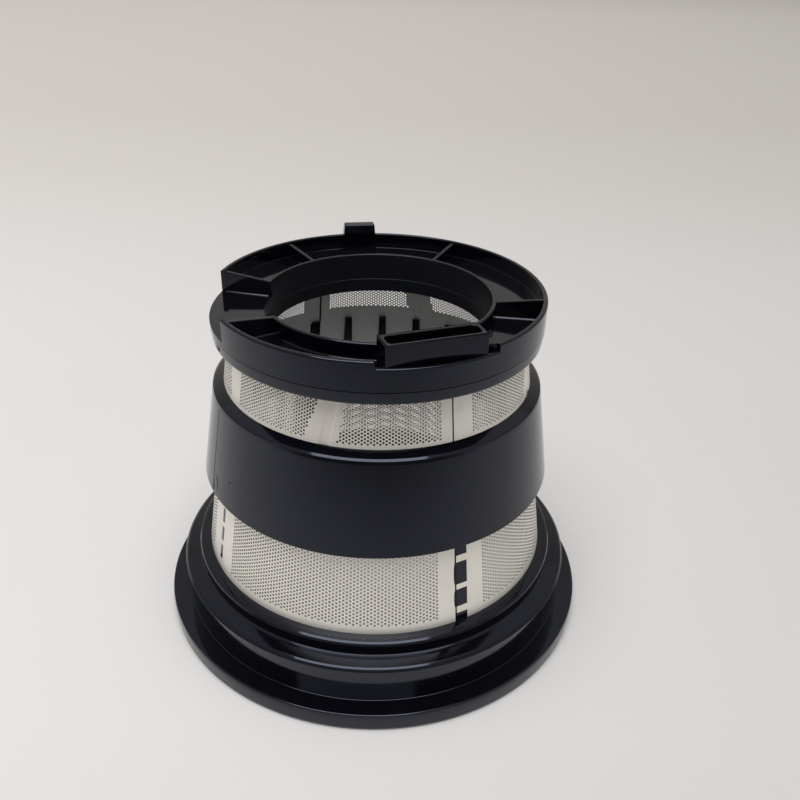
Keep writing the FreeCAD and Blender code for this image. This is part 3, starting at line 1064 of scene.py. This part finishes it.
@dataclass
class HoleField:
    """A staggered field of round holes between two slanting sides."""

    low: float
    high: float
    left: Point
    right: Point
    step_angle: float
    pitch: float
    hole_d: float

    def sides(self, height: float) -> Point:
        """Angles of the field's left and right side at a height."""
        share = (height - self.low) / (self.high - self.low)
        left = self.left[0] + (self.left[1] - self.left[0]) * share
        right = self.right[0] + (self.right[1] - self.right[0]) * share
        return left, right

    def centres(self) -> list[Point]:
        """Angle and height of each hole's centre.

        Returns:
            One pair for each hole.
        """
        spots = []
        first = min(self.left)
        columns = int((max(self.right) - first) / self.step_angle) + 1
        for i in range(columns):
            angle = first + self.step_angle * i
            height = self.low + self.pitch * (0.5 if i % 2 else 0.0)
            while height <= self.high:
                left, right = self.sides(height)
                if left - 0.01 <= angle <= right + 0.01:
                    spots.append((angle, height))
                height += self.pitch
        return spots


@dataclass
class ScreenHalf:
    """One perforated half-sheet, laid out flat, rolled to the cone and given its thickness."""

    name: str
    node: Node
    cone: Cone
    seam: float
    low: float = 16.6
    high: float = 80.2
    back_angle: float = 1.95
    end_angle: float = 177.47
    skin: float = 0.16
    quarters: Point = (0.0, 90.0)
    lower_rows: Point = (21.57, 41.0)
    lower_sides: Point = (8.4, 81.6)
    lower_holes: Spot = (1.071, 0.966, 0.62)
    upper_rows: Point = (67.0, 77.2)
    upper_first: tuple[Point, Point] = ((6.0, 6.0), (37.0, 42.6))
    upper_second: Point = (48.9, 51.5)
    upper_ends: tuple[Point, Point] = ((88.6, 85.2), (173.3, 173.3))
    upper_holes: Spot = (1.005, 0.83, 0.56)
    notch_side: float = 1.4
    notches: tuple[Point, ...] = ((16.6, 21.4), (23.2, 27.9), (29.3, 35.2), (37.0, 62.7))
    wave_depth: float = 0.42
    window_count: int = 4
    window_w: float = 1.3
    window_h: float = 4.0
    window_low: float = 21.9
    window_pitch: float = 5.35
    flat_r: float = 40.0
    bead_low: Point = (44.5, 66.5)
    bead_high: Point = (47.25, 75.8)
    bead_rows: Point = (64.5, 78.5)
    bead_half: float = 1.1
    bead_edge: float = 0.25
    bead_depth: float = 0.22
    bead_points: tuple[float, ...] = (0.3, 0.85, 1.1, 1.35, 1.6)

    def fields(self) -> list[HoleField]:
        """Lay out the fields of the two quarters.

        Returns:
            The hole fields, by angle from the seam's tie bar.
        """
        found = []
        for quarter, end in zip(self.quarters, self.upper_ends):
            sides = [(quarter + side, quarter + side) for side in self.lower_sides]
            found.append(HoleField(*self.lower_rows, *sides, *self.lower_holes))
            sides = [(quarter + low, quarter + high) for low, high in (*self.upper_first, self.upper_second)]
            found.append(HoleField(*self.upper_rows, *sides[:2], *self.upper_holes))
            found.append(HoleField(*self.upper_rows, sides[2], end, *self.upper_holes))
        return found

    def flat(self, angle: float, height: float) -> Point:
        """Place of an angle and a height on the flat sheet."""
        return math.radians(angle) * self.flat_r, height

    def bead_line(self, height: float) -> float:
        """Angle of the first quarter's pressed bead at a height."""
        share = (height - self.bead_low[1]) / (self.bead_high[1] - self.bead_low[1])
        return self.bead_low[0] + (self.bead_high[0] - self.bead_low[0]) * share

    def bead_offset(self, angle: float, height: float) -> float:
        """Signed distance of a point from the nearest pressed bead's centre line, in millimetres."""
        line = self.bead_line(height)
        near = min(self.quarters, key=lambda quarter: abs(angle - quarter - line))
        return math.radians(angle - near - line) * self.cone.radius(height)

    def sink(self, angle: float, height: float) -> float:
        """How far the pressed bead sinks the steel at a point, in millimetres."""
        if not self.bead_rows[0] < height < self.bead_rows[1]:
            return 0.0
        off = abs(self.bead_offset(angle, height))
        share = min(max((self.bead_half + self.bead_edge - off) / (2 * self.bead_edge), 0.0), 1.0)
        return self.bead_depth * share * share * (3 - 2 * share)

    def spot(self, angle: float, height: float) -> Vector:
        """Place on the rolled cone, in metres."""
        turn = math.radians(self.seam + angle)
        radius = self.cone.radius(height) - self.sink(angle, height)
        return Vector((radius * math.cos(turn), radius * math.sin(turn), height)) * MM

    def edge_angle(self, offset: float, height: float) -> float:
        """Angle of a point that lies a distance beside the seam's tie bar."""
        return math.degrees(math.asin(offset / self.cone.radius(height)))

    def outline(self) -> list[Point]:
        """Follow the sheet's edge up its notched side, along the top, down the far side and back.

        Returns:
            Angle and height of each corner.
        """
        near, far = -self.back_angle, self.end_angle
        steps, across, rise = 18, 72, 128
        line: list[Point] = []
        height = self.low
        for bottom, top in self.notches:
            if bottom > height:
                line += [(near, height), (near, bottom)]
            line += [(self.edge_angle(self.notch_side, level), level) for level in (bottom, top)]
            height = top
        line += [(near, height + (self.high - height) * i / steps) for i in range(steps)]
        line += [(near + (far - near) * i / across, self.high) for i in range(across)]
        levels = [self.high - (self.high - self.low) * i / rise for i in range(rise)]
        line += [(far - self.wave(level), level) for level in levels]
        last = self.edge_angle(self.notch_side, self.low) + 0.3
        foot = [far - (far - near) * i / across for i in range(across)]
        return line + [(angle, self.low) for angle in foot if angle > last]

    def windows(self) -> list[list[Point]]:
        """Lay out the windows over the tie bar in the middle of the sheet.

        Returns:
            The corners of each window.
        """
        half = math.degrees(self.window_w / 2 / self.flat_r)
        middle = self.quarters[1]
        lows = [self.window_low + self.window_pitch * i for i in range(self.window_count)]
        return [oblong(middle - half, middle + half, low, low + self.window_h) for low in lows]

    def taken(self, angle: float, height: float, fields: Sequence[HoleField]) -> bool:
        """Tell whether a place is so near a cut line or a bead that it needs no free point.

        Args:
            angle: Angle of the place.
            height: Height of the place.
            fields: The sheet's hole fields.

        Returns:
            Whether it is.
        """
        for field in fields:
            left, right = field.sides(height)
            if field.low - 0.6 < height < field.high + 0.6 and left - 0.9 < angle < right + 0.9:
                return True
        notch = angle < 3.2 and height < 64
        window = abs(angle - self.quarters[1]) < 1.4 and height < 42
        bead = abs(self.bead_offset(angle, height)) < 2.2 and height > 64
        return notch or window or bead or angle > self.end_angle - 1.0

    def free_points(self, fields: Sequence[HoleField]) -> list[Point]:
        """Lay out points that keep the roll round and give the pressed beads their edges.

        Args:
            fields: The sheet's hole fields.

        Returns:
            Angle and height of each point.
        """
        across, rise, bead_steps = 90, 42, 27
        found = []
        for i in range(1, across):
            angle = -self.back_angle + (self.end_angle + self.back_angle) * i / across
            heights = [self.low + (self.high - self.low) * j / rise for j in range(1, rise)]
            found += [(angle, height) for height in heights if not self.taken(angle, height, fields)]
        offsets = [*[-off for off in reversed(self.bead_points)], *self.bead_points]
        for quarter in self.quarters:
            for height in [65.0 + 0.5 * j for j in range(bead_steps)]:
                line = quarter + self.bead_line(height)
                found += [(line + math.degrees(off / self.cone.radius(height)), height) for off in offsets]
        return found

    def loops(self) -> tuple[list[list[Point]], list[Point]]:
        """Collect the closed cut lines and the free points of the flat layout.

        Returns:
            Closed loops of angle and height, the outline first, and the free points.
        """
        fields = self.fields()
        holes = [self.hole(*centre, field.hole_d) for field in fields for centre in field.centres()]
        return [self.outline(), *self.windows(), *holes], self.free_points(fields)

    def wave(self, height: float) -> float:
        """How far the etched far edge draws back in the notches' windows, in degrees."""
        for bottom, top in self.notches[1:3]:
            if bottom < height < top:
                share = (height - bottom) / (top - bottom)
                return self.wave_depth * math.sin(math.pi * share) ** 0.6
        return 0.0

    def hole(self, angle: float, height: float, width: float) -> list[Point]:
        """Six corners of one hole.

        Args:
            angle: Angle of its centre.
            height: Height of its centre.
            width: Its diameter.

        Returns:
            Angle and height of each corner.
        """
        # The corners stand out a little, so that six sides enclose what the round hole would.
        reach = width / 2 * 1.06
        radius = self.cone.radius(height)
        spokes = [(reach * math.cos(math.pi / 3 * i), reach * math.sin(math.pi / 3 * i)) for i in range(6)]
        return [(angle + math.degrees(along / radius), height + up) for along, up in spokes]

    def in_notch(self, angle: float, height: float) -> bool:
        """Tell whether a point of the flat layout lies in a notch at the seam or beyond the far edge."""
        if angle > self.end_angle - self.wave(height):
            return True
        beside = angle < self.edge_angle(self.notch_side, height)
        return beside and any(bottom < height < top for bottom, top in self.notches)

    def build(self, finish: Finish) -> Solid:
        """Make the half-sheet.

        Args:
            finish: Its steel.

        Returns:
            The finished piece.
        """
        loops, loose = self.loops()
        places: list[Point] = []
        edges: list[tuple[int, int]] = []
        owner: list[int] = []
        for number, loop in enumerate(loops):
            first = len(places)
            places += loop
            owner += [number] * len(loop)
            edges += [(first + i, first + (i + 1) % len(loop)) for i in range(len(loop))]
        places += loose
        owner += [-1] * len(loose)
        flat = [Vector(self.flat(a, h)) for a, h in places]
        points, _, faces, sources, _, _ = delaunay_2d_cdt(flat, edges, [], 0, 1e-6)
        owners = [owner[s[0]] if s else -1 for s in sources]
        spread = [(math.degrees(p.x / self.flat_r), p.y) for p in points]
        kept = []
        for face in faces:
            loop = {owners[i] for i in face}
            angle = sum(spread[i][0] for i in face) / 3
            height = sum(spread[i][1] for i in face) / 3
            in_hole = len(loop) == 1 and min(loop) > 0
            if not in_hole and not self.in_notch(angle, height):
                kept.append(face)
        mesh = bpy.data.meshes.new(self.name)
        mesh.from_pydata([self.spot(a, h) for a, h in spread], [], kept)
        piece = bpy.data.objects.new(self.name, mesh)
        bpy.context.collection.objects.link(piece)
        edit(piece)
        bpy.ops.mesh.delete_loose()
        leave_edit()
        pick(piece)
        wall = piece.modifiers.new("sheet", "SOLIDIFY")
        wall.thickness = self.skin * MM
        wall.offset = -1.0
        bpy.ops.object.modifier_apply(modifier=wall.name)
        bpy.ops.object.shade_smooth_by_angle(angle=math.radians(40))
        hand_in(piece, finish, Slot.STEEL, self.node)
        return piece


@dataclass
class SeamWeld:
    """Narrow weld run at the bottom of the gap between the two half-sheets, dark with painted shade of the
    gap.
    """

    cone: Cone
    azimuth: float
    low: float = 62.7
    high: float = 80.0
    width: float = 0.42
    recess: float = 0.16
    inset: float = 0.02
    edge: float = 0.05

    def build(self, finish: Finish, name: str) -> Solid:
        """Make the run as a leaning, bevelled strip.

        Args:
            finish: Its steel, dark with painted shade of the gap.
            name: Name of the piece.

        Returns:
            The finished piece.
        """
        half = self.width / 2
        piece = bar(name, (0, -half, self.low), (1, half, self.high))
        middle = (self.low + self.high) / 2 * MM
        mesh = edit(piece)
        for point in mesh.verts:
            height = self.low if point.co.z < middle else self.high
            depth = self.recess if point.co.x > 0.5 * MM else self.cone.sheet - self.inset
            point.co.x = (self.cone.radius(height) - depth) * MM
        bmesh.update_edit_mesh(piece.data)
        leave_edit()
        bevel(piece, lambda a, b: abs(a.z - b.z) > 10 * MM, self.edge, 1)
        swing(piece, self.azimuth)
        clean(piece)
        smooth(piece)
        hand_in(piece, finish, Slot.STEEL)
        return piece


@dataclass
class WeldSpots:
    """Rings that the spot welder's tip left beside the front seam."""

    cone: Cone
    places: tuple[Point, ...] = (
        (-59.49, 73.22), (-59.0, 69.88), (-59.5, 66.67), (-60.8, 72.17), (-60.8, 67.84))
    sizes: tuple[float, ...] = (1.15, 0.95, 1.15, 0.6, 0.6)
    proud: float = 0.05

    def build(self, finish: Finish) -> Solid:
        """Make the rings.

        Args:
            finish: Their steel.

        Returns:
            All rings as one piece.
        """
        rings = []
        for (azimuth, height), size in zip(self.places, self.sizes):
            radius = self.cone.radius(height)
            rings.append(
                ring_mark("weld_ring", azimuth, height, radius, self.cone.slope, (size, size), self.proud))
        piece = merged(rings, "weld_rings")
        clean(piece)
        smooth(piece)
        hand_in(piece, finish, Slot.STEEL)
        return piece


@dataclass
class Studio:
    """White paper under a pale ceiling, with painted shadow towards the photographer, painted light falloff
    in the far distance, painted side light and a painted pool of light round the object.
    """

    # Painted shadow on the paper in front of the picture.
    shaded_paper: str = "4c4a4a"
    shade: Point = (-0.36, -0.05)
    # Painted light falloff: paper tones by distance.
    falloff_tones: tuple[tuple[float, str], ...] = (
        (0.07, "d3d1d0"), (0.15, "d0cdcb"), (0.24, "cbc7c3"),
        (0.36, "c9c5bf"), (0.6, "cfcbc5"), (1.0, "dad6d0"))
    falloff_scale: float = 0.56
    # Painted side light on the paper: lighter to the left, darker to the right.
    side_light_slant: Point = (-0.4, 0.4)
    side_light_gain: Point = (1.08, 0.915)
    side_light_from: float = 0.3
    # Painted pool of light: the paper a little paler round the object.
    painted_light_ring: Point = (0.055, 0.15)
    painted_light_gain: float = 1.05
    grain_mm: float = 0.6
    back_y: float = 2.4
    reach: float = 4.0
    wall_h: float = 2.0
    bend: float = 0.45
    bend_steps: int = 12
    room: str = "fbfaf9"
    ceiling: float = 0.5
    horizon: float = 0.32
    camera_side: float = 0.85
    lamp_place: Spot = (-0.15, -0.8, 3.0)
    lamp_aim: Spot = (0.0, 0.0, 0.05)
    lamp_power: float = 86.0
    lamp_size: float = 2.6

    def sweep(self) -> Solid:
        """Build the paper: a floor that rises in a curve to a wall.

        Returns:
            The sweep.
        """
        deselect_all()
        bpy.ops.mesh.primitive_plane_add(size=1.0, location=(0, 0, 0))
        piece = bpy.context.object
        piece.name = "paper_sweep"
        piece.scale = (self.reach * 2, self.reach + self.back_y, 1)
        piece.location = (0, (self.back_y - self.reach) / 2, 0)
        settle(piece)
        edit(piece)
        choose_edges(piece, lambda a, b: min(a.y, b.y) > self.back_y - 0.01)
        run = self.bend * math.pi / 2 / self.bend_steps
        turns = [math.pi / 2 * (i + 0.5) / self.bend_steps for i in range(self.bend_steps)]
        rises = [(0, run * math.cos(turn), run * math.sin(turn)) for turn in turns]
        for step in [*rises, (0, 0, self.wall_h)]:
            bpy.ops.mesh.extrude_region_move(TRANSFORM_OT_translate={"value": step})
        leave_edit()
        clean(piece)
        pick(piece)
        bpy.ops.object.shade_smooth_by_angle(angle=math.radians(40))
        return piece

    def paper_finish(self) -> Finish:
        """Make the paper: white and matt, with painted shadow in front of the picture, painted light falloff
        that leaves it darker and a little yellower far behind, painted side light and a painted pool of light
        round the object.

        Returns:
            The material.
        """
        # Matt paper gives the eye a soft, even ground; painted light falloff makes its tone change slowly
        # with distance.
        material, add = new_material("paper_white_matt")
        place = add("TexCoord").outputs["Object"]
        along = add("SeparateXYZ", {"Vector": place}).outputs
        grain = add("TexNoise", {"Vector": place, "Scale": 1 / (self.grain_mm * MM), "Detail": 2.0})
        relief = add("Bump", {"Height": grain, "Strength": 0.05, "Distance": 0.02 * MM})
        # Painted shadow on the paper in front of the picture.
        front = add("MapRange", {
            "Value": along["Y"], "From Min": self.shade[0], "From Max": self.shade[1],
        }, interpolation_type="SMOOTHSTEP")
        # Painted light falloff: the paper's tone by distance, darker behind and paler again on the far wall.
        depth = add("Math", {0: along["Y"], 1: self.falloff_scale}, operation="MULTIPLY")
        back = add("ValToRGB", {"Fac": depth})
        stops = back.color_ramp.elements
        added = [stops.new(0.5) for _ in self.falloff_tones[2:]]
        for (spot, colour), stop in zip(self.falloff_tones, [stops[0], *added, stops[-1]]):
            stop.position = spot
            stop.color = linear(colour)
        # Painted side light: the paper lighter to the left and darker to the right.
        away = add("Math", {0: along["Y"], 1: self.side_light_from}, operation="ADD")
        slant = add("Math", {0: along["X"], 1: away}, operation="DIVIDE")
        side = add("MapRange", {
            "Value": slant, "From Min": self.side_light_slant[0], "From Max": self.side_light_slant[1],
            "To Min": self.side_light_gain[0], "To Max": self.side_light_gain[1],
        })
        # Painted pool of light: the paper a little paler round the object.
        gap = add("VectorMath", {0: place}, operation="LENGTH")
        ring = add("MapRange", {
            "Value": gap, "From Min": self.painted_light_ring[0], "From Max": self.painted_light_ring[1],
            "To Min": self.painted_light_gain, "To Max": 1.0,
        })
        painted_light_lift = add("Math", {0: side, 1: ring}, operation="MULTIPLY")
        near = add("Mix", {"Factor": front, "A": linear(self.shaded_paper), "B": back}, data_type="RGBA")
        tint = add("VectorMath", {0: near, "Scale": painted_light_lift}, operation="SCALE")
        shader = add("BsdfPrincipled", {
            "Base Color": tint, "Roughness": 0.8, "Specular IOR Level": 0.1, "Normal": relief,
        })
        add("OutputMaterial", {"Surface": shader})
        return material

    def light(self) -> None:
        """Set the pale room, darker behind the camera, and the lamp that the rounded edges mirror."""
        world = bpy.data.worlds.new("pale_room")
        bpy.context.scene.world = world
        world.use_nodes = True
        world.node_tree.nodes.clear()
        add = partial(add_node, world.node_tree)
        ways = add("SeparateXYZ", {"Vector": add("TexCoord").outputs["Generated"]}).outputs
        level = add("MapRange", {
            "Value": ways["Z"], "From Min": 0.0, "From Max": 0.9,
            "To Min": self.horizon, "To Max": self.ceiling,
        })
        front = add("MapRange", {
            "Value": ways["Y"], "From Min": -0.8, "From Max": -0.2,
            "To Min": self.camera_side, "To Max": 1.0,
        })
        power = add("Math", {0: level, 1: front}, operation="MULTIPLY")
        glow = add("Background", {"Color": linear(self.room), "Strength": power})
        add("OutputWorld", {"Surface": glow})
        data = bpy.data.lights.new("overhead_softbox", "AREA")
        data.shape = "SQUARE"
        data.size = self.lamp_size
        data.energy = self.lamp_power
        lamp = bpy.data.objects.new("overhead_softbox", data)
        bpy.context.collection.objects.link(lamp)
        lamp.location = self.lamp_place
        way = Vector(self.lamp_aim) - Vector(self.lamp_place)
        lamp.rotation_euler = way.to_track_quat("-Z", "Y").to_euler()

    def build(self) -> None:
        """Set up the stage."""
        piece = self.sweep()
        piece.data.materials.append(self.paper_finish())
        self.light()


@dataclass(frozen=True)
class PhotoCamera:
    """Camera at the photograph's angle, fitted to the object's round edges."""

    lens: float = 38.55
    place: Spot = (5.84, -191.58, 164.5)
    pitch: float = 29.33
    roll: float = 1.69

    def build(self) -> None:
        """Add the camera and make it the scene's own."""
        data = bpy.data.cameras.new("photo_camera")
        data.lens = self.lens
        data.sensor_width = 36.0
        data.clip_start = 0.005
        data.clip_end = 50.0
        camera = bpy.data.objects.new("photo_camera", data)
        bpy.context.collection.objects.link(camera)
        tilt = math.radians(self.pitch)
        lean = math.radians(self.roll)
        back = Vector((0, -math.cos(tilt), math.sin(tilt)))
        level = Vector((1, 0, 0))
        rise = Vector((0, math.sin(tilt), math.cos(tilt)))
        right = level * math.cos(lean) + rise * math.sin(lean)
        up = rise * math.cos(lean) - level * math.sin(lean)
        turn = Matrix((right, up, back)).transposed().to_4x4()
        camera.matrix_world = Matrix.Translation(Vector(self.place) * MM) @ turn
        bpy.context.scene.camera = camera


def main() -> None:
    """Build every piece, the stage and the camera."""
    logging.basicConfig(level=logging.INFO, format="%(message)s")
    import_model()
    bpy.context.scene.view_settings.view_transform = "Standard"
    cone = Cone()
    plastic = MouldedPlastic().material()
    steel = RolledSteel().material()
    weld = WeldAndGapShade().material()
    DrumFrame(cone).build(plastic)
    KeyRing(cone).build(plastic)
    ScreenHalf("perforated_half_front", Node.HALF_FRONT, cone, 120.0).build(steel)
    ScreenHalf("perforated_half_rear", Node.HALF_REAR, cone, -60.0).build(steel)
    SeamWeld(cone, 117.8).build(weld, "seam_weld_rear")
    SeamWeld(cone, -62.2).build(weld, "seam_weld_front")
    WeldSpots(cone).build(steel)
    Studio().build()
    PhotoCamera().build()
    deselect_all()


if __name__ == "__main__":
    main()
